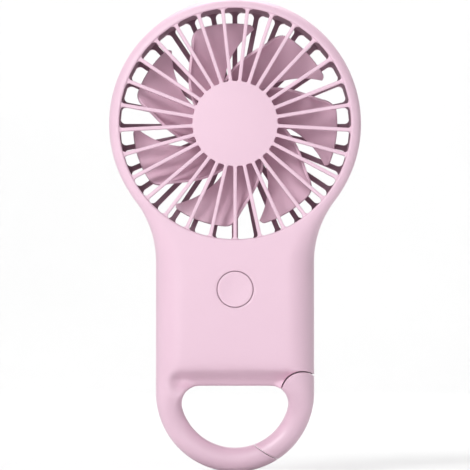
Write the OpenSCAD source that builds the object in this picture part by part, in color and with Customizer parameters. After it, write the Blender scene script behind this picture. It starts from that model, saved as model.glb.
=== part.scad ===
// Handheld electric fan: a round caged head, a flat handle with one button, and a carrying
// loop at the bottom whose right limb is a sprung gate. Millimetres.
// X points right seen from the front, Y from the front to the back, Z up.
// The origin is the centre of the loop's round bottom, halfway through its thickness.

/* [Head] */
// Radius of the round grille opening
grille_r = 39.1; // [37:0.1:47]
// Width of the rim between the opening and the outside
rim_w = 3.5; // [2.9:0.1:4.2]
// Radius of the plain disc in the middle of the front grille
disc_r = 14.4; // [14:0.1:17.5]
// Number of ribs in the front grille
front_ribs = 29; // [19:2:31]
// Width of a front rib
front_rib_w = 1.2; // [0.9:0.1:1.5]
// Number of ribs in the rear grille
rear_ribs = 32; // [20:4:36]
// Width of a rear rib
rear_rib_w = 1.7; // [1.2:0.1:2.1]
// Depth of the ribs, from front to back
rib_depth = 3.4; // [2.5:0.1:3.8]

/* [Handle] */
// Width of the handle
handle_w = 53.6; // [48:0.4:66]
// Length of the handle, from the loop's centre to the lower edge of the grille opening
handle_l = 51.9; // [50:0.5:66]
// Thickness of the head and handle
body_t = 26; // [26:0.5:31.5]
// Rounding of the outer edges
edge_r = 6; // [5:0.5:7]
// Radius of the hollow curve between the head and the handle
neck_r = 34; // [28:1:42]
// Thickness of the shells' walls
wall = 2; // [1.6:0.1:2.4]

/* [Loop] */
// Width of the loop's limbs, seen from the front
limb_w = 8.1; // [7.8:0.1:9.8]
// Thickness of the loop, from front to back
loop_t = 13; // [12.5:0.5:16]
// Rounding of the limbs' edges
limb_edge_r = 3.5; // [2:0.1:3.8]
// Height of the straight upper edge of the loop's opening
opening_top = 2.4; // [1.5:0.1:3]
// Radius of the two upper corners of the loop's opening
opening_corner_r = 6.1; // [5:0.1:7]
// Height of the ledge where the handle steps down to the loop
ledge_z = 7.2; // [7:0.1:8.5]
// Height over which the limbs thin down from the handle to the loop
shoulder_h = 11; // [8:0.5:13]

/* [Gate] */
// Radius of the gate's round knuckle
knuckle_r = 7; // [6.6:0.1:7.4]
// Distance from the gate's pivot to its free end
gate_reach = 24; // [21:0.5:27]
// Radius of the gate's hinge pin
pin_r = 1.25; // [1:0.05:1.4]
// Thickness of the shells' tongue between the gate's cheeks
tongue_t = 6; // [4:0.5:6.5]
// Angle through which the gate opens inwards
gate_open = 28; // [15:1:32]

/* [Fan and motor] */
// Number of blades
blades = 7; // [5:1:7]
// Radius at the blades' tips
impeller_r = 34.8; // [32:0.2:36.5]
// Radius of the impeller's hub
hub_r = 12.5; // [12.2:0.1:13.5]
// Thickness of the blades and of the hub's wall
blade_t = 1.2; // [1:0.1:1.5]
// Radius of the motor's shaft
shaft_r = 1; // [0.8:0.05:1.2]
// Length of the impeller's hub, from front to back
hub_l = 13.2; // [12.5:0.1:13.8]

/* [Button and electronics] */
// Radius of the button's cap
button_r = 6; // [5:0.1:7.5]
// Distance from the lower edge of the grille opening down to the button's centre
button_drop = 16.9; // [15:0.1:19]
// How far the button travels
button_travel = 0.5; // [0.3:0.05:0.6]
// Thickness of the battery
battery_t = 10; // [6:0.5:10]
// Distance from the lower edge of the grille opening down to the middle of the charging socket
socket_drop = 13.9; // [13:0.1:16]
// Distance from the middle of the charging socket down to the charging light
light_drop = 6.8; // [6:0.1:9]

/* [Hidden] */
$fn = 64;

// Gaps and fits
gap = 0.3;             // between pieces that move past each other
knuckle_gap = 0.4;     // between the knuckle and the shells
pin_fit = 0.05;        // running fit of a pin or shaft
slide_fit = 0.08;      // running fit of the switch's plunger
over = 1;              // how far a cut runs past the face that it cuts
sink = 0.5;            // how far a piece of a solid runs into the next, so that they join

// Outline of the body
head_r = grille_r + rim_w;
half_w = handle_w / 2;
head_z = handle_l + grille_r;
neck_x = half_w + neck_r;
neck_rise = sqrt(pow(head_r + neck_r, 2) - pow(neck_x, 2));
neck_z = head_z - neck_rise;
neck_angle = atan2(neck_rise, neck_x);
half_t = body_t / 2;
inner_y = half_t - wall;

// Grilles
rib_sink = 0.6;        // the ribs' outer faces lie this far behind the body's flat faces
rib_y = half_t - rib_sink;
disc_t = 2;
rear_hub_r = hub_r + 1;
rear_hub_t = 3.4;
duct_wall = 2;

// Cavity of the handle
floor_z = ledge_z + wall;
cavity_top = handle_l - duct_wall;
step_w = 2.5;          // the cavity is narrower by this much near the front and the back
step_y = inner_y - 3;

// Loop and gate
limb_x = half_w - limb_w / 2;
opening_r = half_w - limb_w;
half_loop = loop_t / 2;
corner_z = opening_top - opening_corner_r;
corner_x = sqrt(pow(opening_r - opening_corner_r, 2) - pow(corner_z, 2));
shoulder_z = ledge_z - shoulder_h;
tongue_r = limb_w / 2 - 1.15;
stem_w = 1.4 * tongue_r;
spring_wire = 0.25;
spring_r = pin_r + spring_wire + 0.35;
spring_turns = 3;
spring_steps = 12;
spring_y = tongue_t / 2 + gap + spring_wire;
spring_l = 1.7;
gate_slot_y = spring_y + spring_l + spring_wire + gap;
leg_z = knuckle_r + 1.6;
pin_back = half_loop + 1.2;

// Screws
screw_r = 1;
screw_head_r = 2;
boss_r = 3.4;
screw_x = half_w - wall - 4.2;
low_screw_z = floor_z + 3;
high_screw_z = cavity_top - 1.4;
screw_seat_y = half_t - 5;
screw_tip_y = -7.6;
screw_hole_y = screw_tip_y - 0.4;

// Motor, from the back forwards
base_y = rib_y - rear_hub_t;
base_t = 1.6;
base_r = hub_r - 1;
base_front = base_y - base_t;
board_t = 1.2;
hub_back = base_front - 2.8;
hub_front = hub_back - hub_l;
yoke_r = hub_r - blade_t;
yoke_t = 1;
yoke_front = hub_front + blade_t + 0.2;
yoke_back = hub_back - 0.4;
yoke_boss_r = 2.4;
yoke_boss_l = 1.8;
magnet_r = yoke_r - yoke_t;
magnet_t = 1.5;
magnet_front = yoke_front + yoke_t + 1.6;
magnet_back = yoke_back - 0.4;
stator_r = magnet_r - magnet_t - 0.5;
stator_front = magnet_front + 2.6;
stator_back = magnet_back - 1.6;
stator_poles = 6;
coil_over = 1.1;
bearing_r = 2.4;
bearing_l = 2.4;
tube_r = 3.3;
tube_front = yoke_front + yoke_t + yoke_boss_l + 0.9;
shaft_back = base_front - 0.3;
clip_y = shaft_back - 0.9;
clip_t = 0.4;
motor_screw_r = 0.8;
motor_screw_head_r = 1.3;
motor_screw_ring = base_r - 1.6;
motor_screw_head = 0.9;
motor_screw_turns = [30, 150, 294];
motor_board_r = motor_screw_ring - motor_screw_head_r - 0.4;

// Blades: each one's front edge trails, and its back edge leads as the fan turns clockwise
blade_front = hub_front + 1.6;
blade_back = hub_back - 1;
blade_turn = 43.5;     // the first blade's tip, in degrees clockwise from the top
tip_trail = 19;        // from the tip's middle back to its front edge, in degrees
tip_lead = 19.5;       // from the tip's middle on to its back edge
root_trail = 44;       // how many degrees further back the front edge starts at the hub
root_lead = 29;        // how many degrees further back the back edge starts at the hub
trail_curve = 1.65;
tip_round = 0.11;      // how much the front edge's corner is rounded off, as a share of its radius
camber_h = 1.1;
blade_steps = 10;
blade_cuts = 8;
blade_root = hub_r - 0.6;

// Button, switch and boards, from the front backwards
button_z = handle_l - button_drop;
button_gap = 0.25;
flange_t = 1;
flange_y = -inner_y + gap;
stem_l = 0.6;
plunger_y = flange_y + flange_t + stem_l;
plunger_l = 1.2;
plunger_r = 1.7;
switch_y = plunger_y + 0.8;
switch_w = 6;
switch_t = 3.4;
board_y = switch_y + switch_t;
board_back = board_y + board_t;
board_left = -(half_w - wall - 6.8);
board_right = half_w - wall - 1.5;
board_top = cavity_top - 5.6;
board_bottom = button_z - 12.5;
board_post_r = 2.4;
board_screw_r = 0.8;
board_screw_head_r = 1.5;
board_screw_spots = [[board_left + 3, board_bottom + 3], [board_left + 3, board_top - 4],
                     [-board_left - 4, board_bottom + 3]];
socket_w = 7.5;
socket_t = 2.6;
socket_l = 5.4;
socket_z = handle_l - socket_drop;
socket_y = board_back + socket_t / 2;
socket_end = half_w - 0.5;
light_r = 0.85;
light_z = socket_z - light_drop;
light_y = board_back + 1;
lens_back = half_w - wall - 0.6;
chip_w = 5;

// Battery and leads
battery_y = inner_y - 1.6 - battery_t;
battery_w = 2 * (screw_x - boss_r - 1);
battery_bottom = floor_z + 1.4;
battery_top = cavity_top - 6.9;
lead_r = 0.45;
connector_w = 5;
connector_t = 2.4;
connector_h = 4;
connector_x = 6;
connector_top = board_top - 0.2;
lead_y = base_y - 0.7;
lead_turn_z = cavity_top - 2.2;
wire_sides = 8;

// Extrudes a shape drawn in the front view, from depth y0 back to depth y1
module plate(y0, y1) translate([0, y1, 0]) rotate([90, 0, 0]) linear_extrude(y1 - y0) children();

// Turns a profile about the front-to-back line through a point of the front view
module turned(at, angle, start) translate([at.x, 0, at.y]) rotate([90, 0, 0])
    rotate_extrude(angle = angle, start = start) children();

// A rod along Y from y0 to y1, at a point of the front view
module rod(at, r, y0, y1) plate(y0, y1) translate(at) circle(r);

// A ring along Y
module ring(at, r, bore, y0, y1) plate(y0, y1) translate(at) difference() {
    circle(r);
    circle(bore);
}

// A rectangle with four round corners, centred
module rounded(w, h, r) {
    square([w, h - 2 * r], center = true);
    square([w - 2 * r, h], center = true);
    for (x = [-1, 1], y = [-1, 1]) translate([x * (w / 2 - r), y * (h / 2 - r)]) circle(r);
}

// Half of the body's section, from x = 0 out to the rounded edge at x = reach
module edge_profile(reach) intersection() {
    rounded(2 * reach, body_t, edge_r);
    translate([0, -half_t]) square([reach, body_t]);
}

// The neck, seen from the front, as far in as inset from its hollow sides
module neck_plan(inset) for (side = [0, 1]) mirror([side, 0]) difference() {
    polygon([[0, head_z], [0, neck_z], [neck_x, neck_z]]);
    translate([neck_x, neck_z]) circle(neck_r + inset);
}

// Head and handle as one full solid with rounded edges
module head_and_handle() {
    head_span = 180 + 2 * neck_angle;
    turned([0, head_z], head_span, -neck_angle) edge_profile(head_r);
    plate(-half_t, half_t) neck_plan(edge_r + 1);
    for (side = [0, 1]) mirror([side, 0, 0])
        turned([neck_x, neck_z], neck_angle, 180 - neck_angle) neck_edge();
    translate([0, 0, ledge_z]) linear_extrude(neck_z - ledge_z) rounded(handle_w, body_t, edge_r);
}

// The neck's rounded edge, at its distance from the centre of the hollow curve
module neck_edge() {
    strip_w = edge_r + 5;
    translate([neck_r + strip_w, 0]) mirror([1, 0]) edge_profile(strip_w);
}

// The loop's opening, seen from the front
module opening_plan() {
    intersection() {
        circle(opening_r);
        translate([-half_w, corner_z - half_w]) square([handle_w, half_w]);
    }
    translate([-corner_x, corner_z - over]) square([2 * corner_x, opening_corner_r + over]);
    for (side = [-1, 1]) translate([side * corner_x, corner_z]) circle(opening_corner_r);
}

// The whole loop with its shoulders and the bar above its opening, before the gate is cut out
module loop() {
    turned([0, 0], 180, 180) translate([limb_x, 0]) rounded(limb_w, loop_t, limb_edge_r);
    for (side = [-1, 1]) translate([side * limb_x, 0, 0])
        linear_extrude(ledge_z + over) rounded(limb_w, loop_t, limb_edge_r);
    plate(-half_loop, half_loop) difference() {
        union() {
            translate([-limb_x, 0]) square([2 * limb_x, ledge_z + over]);
            intersection() {
                circle(limb_x);
                translate([-limb_x, corner_z]) square([2 * limb_x, -corner_z]);
            }
        }
        opening_plan();
    }
    for (side = [0, 1]) mirror([0, side, 0]) cove();
    shoulders();
}

// The hollow curve under the handle's ledge
module cove() {
    cove_r = ledge_z - opening_top;
    translate([-limb_x, 0, 0]) rotate([90, 0, 90]) linear_extrude(2 * limb_x) difference() {
        translate([-half_loop - cove_r, opening_top]) square([cove_r + over, cove_r + over]);
        translate([-half_loop - cove_r, opening_top]) circle(cove_r);
    }
}

// The limbs' upper ends, which thin down from the handle to the loop
module shoulders() intersection() {
    translate([0, 0, shoulder_z]) linear_extrude(shoulder_h + over) difference() {
        rounded(handle_w, body_t, edge_r);
        square([2 * opening_r + 1, 2 * body_t], center = true);
    }
    rotate([90, 0, 90]) translate([0, 0, -half_w]) linear_extrude(handle_w)
        polygon([[-half_loop, shoulder_z], [half_loop, shoulder_z], [half_t, ledge_z],
                 [half_t, ledge_z + over], [-half_t, ledge_z + over], [-half_t, ledge_z]]);
    plate(-half_t, half_t) {
        circle(half_w);
        translate([-half_w, 0]) square([handle_w, ledge_z + over]);
    }
}

// The part of the loop that the gate takes, seen from the front, grown by a gap at each end
module gate_plan(round_gap, end_gap) {
    translate([limb_x, 0]) circle(knuckle_r + round_gap);
    intersection() {
        translate([limb_x, 0]) circle(gate_reach + end_gap);
        translate([0, -handle_w]) square([handle_w, handle_w]);
    }
}

// Where the two shells' tongue stands, seen from the front
module tongue_plan(grow) translate([limb_x, 0]) {
    circle(tongue_r + grow);
    translate([-stem_w / 2 - grow, 0]) square([stem_w + 2 * grow, knuckle_r + 2]);
}

// One half of the outer body: side -1 is the front, 1 is the back
module shell_half(side) {
    y0 = min(0, side * half_t);
    y1 = max(0, side * half_t);
    difference() {
        intersection() {
            union() {
                head_and_handle();
                difference() {
                    loop();
                    plate(-half_t - over, half_t + over) gate_plan(knuckle_gap, gap / 2);
                }
            }
            translate([-neck_x, y0, -handle_w]) cube([2 * neck_x, half_t, head_z + 2 * handle_w]);
        }
        plate(y0 - over, y1 + over) translate([0, head_z]) circle(grille_r);
        handle_cavity(side * step_y, 0);
        handle_cavity(side * inner_y, step_w);
        plate(y0 - over, y1 + over) translate([limb_x, 0]) circle(knuckle_r + knuckle_gap);
    }
    intersection() {
        plate(-tongue_t / 2, tongue_t / 2) tongue_plan(0);
        translate([0, y0, -handle_w]) cube([handle_w, half_t, 2 * handle_w]);
    }
}

// The hollow of the handle, from the middle plane to depth y
module handle_cavity(y, inset) plate(min(0, y), max(0, y)) difference() {
    union() {
        neck_plan(wall + inset);
        translate([-half_w + wall + inset, floor_z])
            square([handle_w - 2 * (wall + inset), neck_z - floor_z]);
    }
    translate([0, head_z]) circle(grille_r + duct_wall);
}

// Spots of the four housing screws, seen from the front
screw_spots = [for (x = [-1, 1], z = [low_screw_z, high_screw_z]) [x * screw_x, z]];

// Ribs and hub of a grille, seen from the front
module grille_plan(count, rib_w, middle_r, turn) translate([0, head_z]) {
    circle(middle_r);
    intersection() {
        circle(grille_r + sink);
        for (i = [0 : count - 1]) rotate(turn + i * 360 / count) translate([0, -rib_w / 2])
            square([head_r, rib_w]);
    }
}

module front_shell() color([0.94, 0.82, 0.88]) difference() {
    union() {
        shell_half(-1);
        plate(-rib_y, -rib_y + rib_depth) difference() {
            grille_plan(front_ribs, front_rib_w, disc_r - 1, -90);
            translate([0, head_z]) circle(disc_r - 1.5);
        }
        rod([0, head_z], disc_r, -rib_y, -rib_y + disc_t);
        for (spot = screw_spots) rod(spot, boss_r, -inner_y - sink, 0);
        for (spot = board_screw_spots) rod(spot, board_post_r, -inner_y - sink, board_y);
    }
    for (spot = screw_spots) rod(spot, screw_r, screw_hole_y, over);
    for (spot = board_screw_spots) rod(spot, board_screw_r, board_y - 4, board_y + over);
    rod([0, button_z], button_r + button_gap, -half_t - over, -inner_y + over);
    rod([limb_x, 0], pin_r, -half_t, over);
    translate([half_w - wall - over, socket_y - socket_t / 2 - gap, socket_z - socket_w / 2 - gap])
        cube([wall + 2 * over, socket_t + 2 * gap, socket_w + 2 * gap]);
    side_hole(light_r, half_w - wall - over, half_w + over);
}

// A round rod along X at the charging light
module side_hole(r, x0, x1) translate([x0, light_y, light_z]) rotate([0, 90, 0])
    cylinder(h = x1 - x0, r = r);

module rear_shell() color([0.93, 0.80, 0.87]) difference() {
    union() {
        shell_half(1);
        plate(base_y, rib_y) grille_plan(rear_ribs, rear_rib_w, rear_hub_r, -90);
        for (spot = screw_spots) rod(spot, boss_r, 0, inner_y + sink);
    }
    for (spot = screw_spots) {
        rod(spot, screw_r + 0.2, -over, half_t);
        rod(spot, screw_head_r + 0.3, screw_seat_y, half_t + over);
    }
    for (spot = motor_screw_spots) rod(spot, motor_screw_r, base_y - over, base_y + 2.4);
    rod([limb_x, 0], pin_r, -over, half_t);
    spring_leg_slot();
    lead_notch();
}

// The slot that holds the spring's fixed leg in the rear shell
module spring_leg_slot() translate([limb_x - spring_r - spring_wire, 0, 0])
    translate([0, spring_y - spring_wire, 0]) cube([2 * spring_wire, 2 * spring_wire, leg_z + 0.1]);

// The notch where the motor's leads leave the duct for the handle
module lead_notch() translate([-2, lead_y - 0.9, cavity_top - over])
    cube([4, 1.6, duct_wall + 2 * over]);

// Spots of the three motor screws, seen from the front
motor_screw_spots = [for (a = motor_screw_turns)
    [motor_screw_ring * cos(a), head_z + motor_screw_ring * sin(a)]];

module housing_screws() color([0.75, 0.75, 0.78]) for (spot = screw_spots) difference() {
    union() {
        rod(spot, screw_r, screw_tip_y, screw_seat_y + sink);
        rod(spot, screw_head_r, screw_seat_y, screw_seat_y + 1.5);
    }
    cross_slot(spot, screw_seat_y + 0.8, screw_seat_y + 2);
}

// A cross-shaped drive slot
module cross_slot(at, y0, y1) plate(y0, y1) translate(at) {
    square([2, 0.5], center = true);
    square([0.5, 2], center = true);
}

// Where a blade's two edges lie at a radius, in degrees clockwise from its own axis
function from_tip(r) = (impeller_r - r) / (impeller_r - hub_r);
function trailing_angle(r) = -tip_trail - root_trail * pow(from_tip(r), trail_curve);
function leading_angle(r) = tip_lead - root_lead * from_tip(r);

// A point on a blade: u runs from the trailing edge to the leading edge, v from hub to tip
function blade_point(u, v, side) =
    let (
        r = blade_root + (impeller_r - blade_root) * v,
        round_off = 1 - tip_round * v * pow(1 - u, 8),
        span = r * round_off,
        angle = trailing_angle(r) + (leading_angle(r) - trailing_angle(r)) * u,
        y = blade_front + (blade_back - blade_front) * u + camber_h * sin(180 * u) + side * blade_t / 2
    ) [span * sin(angle), y, span * cos(angle)];

module blade() {
    rows = blade_steps + 1;
    cols = blade_cuts + 1;
    sheet = rows * cols;
    points = [for (side = [-1, 1], i = [0 : blade_steps], j = [0 : blade_cuts])
        blade_point(j / blade_cuts, i / blade_steps, side)];
    front = [for (i = [0 : blade_steps - 1], j = [0 : blade_cuts - 1])
        each quad(i * cols + j, (i + 1) * cols + j, (i + 1) * cols + j + 1, i * cols + j + 1)];
    back = [for (face = front) [for (k = [2, 1, 0]) face[k] + sheet]];
    border = concat(
        [for (j = [0 : blade_cuts]) j],
        [for (i = [1 : blade_steps]) i * cols + blade_cuts],
        [for (j = [1 : blade_cuts]) blade_steps * cols + blade_cuts - j],
        [for (i = [1 : blade_steps - 1]) (blade_steps - i) * cols]);
    sides = [for (k = [0 : len(border) - 1])
        let (a = border[k], b = border[(k + 1) % len(border)])
        each quad(a, b, b + sheet, a + sheet)];
    polyhedron(points, concat(front, back, sides));
}

// Two triangles for a four-sided face
function quad(a, b, c, d) = [[a, b, c], [a, c, d]];

module impeller() color([0.84, 0.70, 0.78]) {
    difference() {
        rod([0, head_z], hub_r, hub_front, hub_back);
        rod([0, head_z], yoke_r, yoke_front, hub_back + over);
    }
    translate([0, 0, head_z]) for (i = [0 : blades - 1]) rotate([0, blade_turn + i * 360 / blades, 0])
        blade();
}

module rotor_yoke() color([0.62, 0.62, 0.65]) {
    difference() {
        rod([0, head_z], yoke_r, yoke_front, yoke_back);
        rod([0, head_z], magnet_r, yoke_front + yoke_t, yoke_back + over);
        rod([0, head_z], shaft_r, yoke_front - over, yoke_back);
    }
    ring([0, head_z], yoke_boss_r, shaft_r, yoke_front + yoke_t, yoke_front + yoke_t + yoke_boss_l);
}

module rotor_magnet() color([0.22, 0.22, 0.24])
    ring([0, head_z], magnet_r, magnet_r - magnet_t, magnet_front, magnet_back);

module motor_shaft() color([0.80, 0.80, 0.83])
    rod([0, head_z], shaft_r, yoke_front, shaft_back);

module shaft_clip() color([0.35, 0.35, 0.38])
    ring([0, head_z], shaft_r + 0.9, shaft_r, clip_y, clip_y + clip_t);

module bearing(y0) color([0.72, 0.58, 0.36])
    ring([0, head_z], bearing_r, shaft_r + pin_fit, y0, y0 + bearing_l);

module front_bearing() bearing(tube_front);

module rear_bearing() bearing(clip_y - 0.5 - bearing_l);

module motor_base() color([0.70, 0.71, 0.74]) {
    ring([0, head_z], tube_r, bearing_r, tube_front, base_front);
    difference() {
        rod([0, head_z], base_r, base_front, base_y);
        for (spot = motor_screw_spots) rod(spot, motor_screw_r, base_front - over, base_y + over);
    }
}

module motor_screws() color([0.72, 0.72, 0.75]) for (spot = motor_screw_spots) difference() {
    union() {
        rod(spot, motor_screw_r, base_front - 0.3, base_y + 2.2);
        rod(spot, motor_screw_head_r, base_front - motor_screw_head, base_front);
    }
    cross_slot(spot, base_front - motor_screw_head - over, base_front - motor_screw_head + 0.4);
}

// The stator's sheet-metal shape, seen from the front
module stator_plan() difference() {
    union() {
        circle(tube_r + 1.2);
        for (i = [0 : stator_poles - 1]) rotate(i * 360 / stator_poles) {
            translate([0, -0.9]) square([stator_r - 0.6, 1.8]);
            intersection() {
                difference() {
                    circle(stator_r);
                    circle(stator_r - 1);
                }
                translate([0, -stator_r * 0.4]) square([stator_r, stator_r * 0.8]);
            }
        }
    }
    circle(tube_r);
}

module stator_core() color([0.45, 0.46, 0.50])
    plate(stator_front, stator_back) translate([0, head_z]) stator_plan();

module stator_windings() color([0.72, 0.38, 0.18]) difference() {
    plate(stator_front - coil_over, stator_back + coil_over) translate([0, head_z])
        for (i = [0 : stator_poles - 1]) rotate(i * 360 / stator_poles)
            translate([tube_r + 1.7, -1.6]) square([stator_r - tube_r - 3.1, 3.2]);
    plate(stator_front, stator_back) translate([0, head_z]) stator_plan();
}

module motor_board() color([0.10, 0.38, 0.24])
    ring([0, head_z], motor_board_r, tube_r, base_front - board_t, base_front);

module button_cap() color([0.95, 0.82, 0.88]) {
    rod([0, button_z], button_r, -half_t, flange_y + 0.4);
    rod([0, button_z], button_r + 1.2, flange_y, flange_y + flange_t);
    rod([0, button_z], 2, flange_y + flange_t - 0.4, plunger_y);
}

module switch_plunger() color([0.15, 0.15, 0.16])
    rod([0, button_z], plunger_r, plunger_y, plunger_y + plunger_l);

module switch_body() color([0.30, 0.30, 0.32]) difference() {
    plate(switch_y, board_y) translate([0, button_z]) square(switch_w, center = true);
    rod([0, button_z], plunger_r + slide_fit, switch_y - over, plunger_y + plunger_l + button_travel + gap);
}

module main_board() color([0.10, 0.42, 0.27]) difference() {
    plate(board_y, board_back) translate([board_left, board_bottom])
        square([board_right - board_left, board_top - board_bottom]);
    for (spot = board_screw_spots) rod(spot, board_screw_r, board_y - over, board_back + over);
}

module board_screws() color([0.75, 0.75, 0.78]) for (spot = board_screw_spots) difference() {
    union() {
        rod(spot, board_screw_r, board_y - 3.6, board_back + 0.3);
        rod(spot, board_screw_head_r, board_back, board_back + 1);
    }
    cross_slot(spot, board_back + 0.6, board_back + 2);
}

module control_chip() color([0.12, 0.12, 0.13])
    translate([6, board_back, board_bottom + 4]) cube([chip_w, 1.4, 4]);

module lead_connectors() color([0.93, 0.91, 0.85]) for (side = [-1, 1])
    translate([side * connector_x - connector_w / 2, board_back, connector_top - connector_h])
        cube([connector_w, connector_t, connector_h]);

module charging_socket() color([0.78, 0.79, 0.82]) translate([0, socket_y, socket_z]) {
    rotate([90, 0, 90]) translate([0, 0, socket_end - socket_l]) difference() {
        linear_extrude(socket_l) square([socket_t, socket_w], center = true);
        translate([0, 0, 1]) linear_extrude(socket_l)
            square([socket_t - 0.6, socket_w - 0.6], center = true);
    }
    translate([socket_end - socket_l + 0.5, -0.3, -2.4]) cube([socket_l - 1.5, 0.6, 4.8]);
}

module charging_light() color([0.96, 0.93, 0.82])
    translate([board_right - 2, board_back, light_z - 0.8]) cube([1.6, 1.4, 1.6]);

module light_lens() color([0.96, 0.96, 0.98]) {
    side_hole(light_r, lens_back, half_w);
    side_hole(light_r + 0.5, lens_back - 0.6, half_w - wall);
}

module battery() color([0.55, 0.60, 0.66])
    translate([-battery_w / 2, battery_y, battery_bottom])
        cube([battery_w, battery_t, battery_top - battery_bottom]);

module battery_pad() color([0.25, 0.25, 0.27])
    translate([-battery_w / 2 + 2, battery_y + battery_t, battery_bottom + 2])
        cube([battery_w - 4, inner_y - battery_y - battery_t, battery_top - battery_bottom - 4]);

// A round wire along a route: a ring of points square to the route at each of its points. The
// route never runs along the direction across.
module wire(route, r, across) {
    count = len(route);
    points = [for (i = [0 : count - 1])
        let (
            way = route[min(i + 1, count - 1)] - route[max(i - 1, 0)],
            along = way / norm(way),
            side = cross(along, across) / norm(cross(along, across)),
            up = cross(along, side)
        )
        for (k = [0 : wire_sides - 1])
            route[i] + r * (cos(k * 360 / wire_sides) * side + sin(k * 360 / wire_sides) * up)];
    walls = [for (i = [0 : count - 2], k = [0 : wire_sides - 1])
        let (a = i * wire_sides + k, b = i * wire_sides + (k + 1) % wire_sides)
        each quad(a, a + wire_sides, b + wire_sides, b)];
    start = [[for (k = [0 : wire_sides - 1]) k]];
    end = [[for (k = [wire_sides - 1 : -1 : 0]) (count - 1) * wire_sides + k]];
    polyhedron(points, concat(walls, start, end));
}

module lead(route) wire(route, lead_r, [1, 0.05, 0.02]);

// A route with a smooth bend of three points at each inner corner
function bent(route, cut) = [
    route[0],
    for (i = [1 : len(route) - 2])
        let (
            before = (route[i - 1] - route[i]) / norm(route[i - 1] - route[i]),
            after = (route[i + 1] - route[i]) / norm(route[i + 1] - route[i])
        )
        each [route[i] + cut * before, route[i] + 0.25 * cut * (before + after), route[i] + cut * after],
    route[len(route) - 1]
];

// The two wires from the motor's board down the lowest rear rib to the left connector
module motor_leads() color([0.86, 0.72, 0.79]) for (side = [-1, 1]) lead(bent([
    [side * 0.6, base_front - board_t - lead_r, head_z - motor_board_r + 2],
    [side * 0.6, base_front - board_t - lead_r, head_z - base_r - 0.5],
    [side * 0.6, lead_y, head_z - rear_hub_r - 2],
    [side * 0.6, lead_y, lead_turn_z],
    [side * 0.7 - connector_x / 2, (lead_y + board_back) / 2, lead_turn_z - 0.8],
    [side * 0.9 - connector_x, board_back + connector_t / 2, lead_turn_z - 1],
    [side * 0.9 - connector_x, board_back + connector_t / 2, connector_top]
], 0.8));

// The two wires from the top of the battery to the right connector
module battery_leads() color([0.20, 0.20, 0.22]) for (side = [-1, 1]) lead(bent([
    [side * 0.9 + connector_x, battery_y + 3, battery_top],
    [side * 0.9 + connector_x, battery_y + 3, battery_top + 3],
    [side * 0.9 + connector_x, board_back + connector_t / 2, battery_top + 3.4],
    [side * 0.9 + connector_x, board_back + connector_t / 2, connector_top]
], 0.7));

module gate() color([0.95, 0.81, 0.88]) difference() {
    intersection() {
        loop();
        plate(-half_t - over, half_t + over) gate_plan(0, -gap / 2);
    }
    plate(-tongue_t / 2 - gap, gate_slot_y) gate_slot_plan();
    rod([limb_x, 0], pin_r + pin_fit, -pin_back + 0.5, half_t + over);
}

// The room that the tongue and the spring take in the gate over its whole swing
module gate_slot_plan() {
    reach = knuckle_r + 3;
    translate([limb_x, 0]) {
        circle(tongue_r + gap);
        for (turn = [0, gate_open + 2]) rotate(turn)
            translate([-stem_w / 2 - gap, 0]) square([stem_w + 2 * gap, reach]);
        polygon([[0, 0], reach * [cos(90), sin(90)], reach * [cos(105), sin(105)],
                 reach * [cos(92 + gate_open), sin(92 + gate_open)]]);
    }
}

module gate_pin() color([0.78, 0.78, 0.80]) rod([limb_x, 0], pin_r, -pin_back + 1, pin_back - 0.4);

// A wire coil around the pin; one leg stands in the rear shell, the other bears on the gate
module gate_spring() color([0.60, 0.60, 0.63]) {
    turns = [for (i = [0 : spring_turns * spring_steps])
        let (a = 180 + i * 360 / spring_steps)
        [limb_x + spring_r * cos(a), spring_y + spring_l * i / (spring_turns * spring_steps), spring_r * sin(a)]];
    top = [limb_x - spring_r, spring_y, leg_z];
    foot = [limb_x - spring_r, spring_y + spring_l, -sqrt(pow(tongue_r, 2) - pow(spring_r, 2)) + 0.1];
    wire(concat([top, [top.x, top.y, 0.5]], turns, [foot]), spring_wire, [0, 1, 0]);
}

front_shell();
rear_shell();
housing_screws();
impeller();
rotor_yoke();
rotor_magnet();
motor_shaft();
shaft_clip();
front_bearing();
rear_bearing();
motor_base();
motor_screws();
stator_core();
stator_windings();
motor_board();
motor_leads();
button_cap();
switch_plunger();
switch_body();
main_board();
board_screws();
control_chip();
lead_connectors();
charging_socket();
charging_light();
light_lens();
battery();
battery_pad();
battery_leads();
gate();
gate_pin();
gate_spring();
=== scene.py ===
import math

import bmesh
import bpy
from mathutils import Matrix, Vector
from mathutils.geometry import delaunay_2d_cdt


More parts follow.
